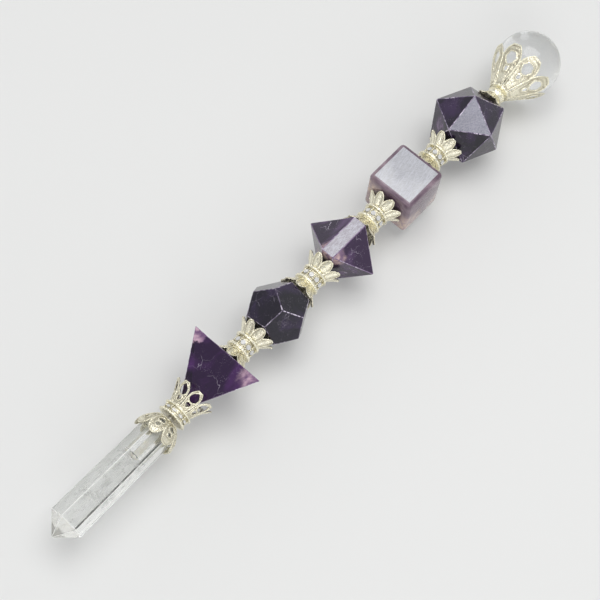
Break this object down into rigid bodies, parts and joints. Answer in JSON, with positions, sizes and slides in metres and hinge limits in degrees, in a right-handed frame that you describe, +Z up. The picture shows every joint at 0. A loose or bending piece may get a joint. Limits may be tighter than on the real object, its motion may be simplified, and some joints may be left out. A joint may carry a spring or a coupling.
{
  "type": "crystal wand",
  "caption": "Crystal wand: a clear quartz point, purple stones cut as regular solids and a clear ball on one rod, between stamped petal caps.",
  "frame": {"origin": "under the middle of the wand's length, on the plane of its lowest corner", "axes": "+X along the rod toward the quartz point, +Y sideways, +Z up as the wand lies with one edge of the tetrahedron on top"},
  "size_m": [0.2096, 0.0238, 0.0252],
  "materials": {
    "clear_quartz": "clear polished quartz with milky veils",
    "clear_ball": "clear polished ball",
    "tetrahedron_amethyst": "polished purple quartz with pale veins",
    "dodecahedron_amethyst": "polished, nearly black purple quartz",
    "octahedron_amethyst": "polished purple quartz with pale patches",
    "cube_amethyst": "polished pale lavender grey quartz",
    "icosahedron_amethyst": "polished, very dark purple quartz",
    "cap_metal": "bright silver plate with a warm tint",
    "set_crystals": "small clear cut crystals",
    "rod_steel": "plain drawn rod",
    "cement": "hard clear-white resin cement"
  },
  "bodies": {
    "root": {"quartz_point": "clear_quartz", "quartz_socket_cement": "cement", "core_rod": "rod_steel", "quartz_flower_cap": "cap_metal", "collar_rondelle": "cap_metal", "collar_crystals": "set_crystals", "tetrahedron_loop_cap": "cap_metal", "tetrahedron_stone": "tetrahedron_amethyst", "tetra_dodeca_front_lotus_cap": "cap_metal", "tetra_dodeca_rondelle": "cap_metal", "tetra_dodeca_crystals": "set_crystals", "tetra_dodeca_rear_lotus_cap": "cap_metal", "dodecahedron_stone": "dodecahedron_amethyst", "dodeca_octa_front_lotus_cap": "cap_metal", "dodeca_octa_rondelle": "cap_metal", "dodeca_octa_crystals": "set_crystals", "dodeca_octa_rear_lotus_cap": "cap_metal", "octahedron_stone": "octahedron_amethyst", "octa_cube_front_lotus_cap": "cap_metal", "octa_cube_rondelle": "cap_metal", "octa_cube_crystals": "set_crystals", "octa_cube_rear_lotus_cap": "cap_metal", "cube_stone": "cube_amethyst", "cube_icosa_front_lotus_cap": "cap_metal", "cube_icosa_rondelle": "cap_metal", "cube_icosa_crystals": "set_crystals", "cube_icosa_rear_lotus_cap": "cap_metal", "icosahedron_stone": "icosahedron_amethyst", "icosahedron_lotus_cap": "cap_metal", "neck_bead": "cap_metal", "ball_loop_cap": "cap_metal", "crystal_ball": "clear_ball", "ball_socket_cement": "cement"}
  },
  "joints": []
}
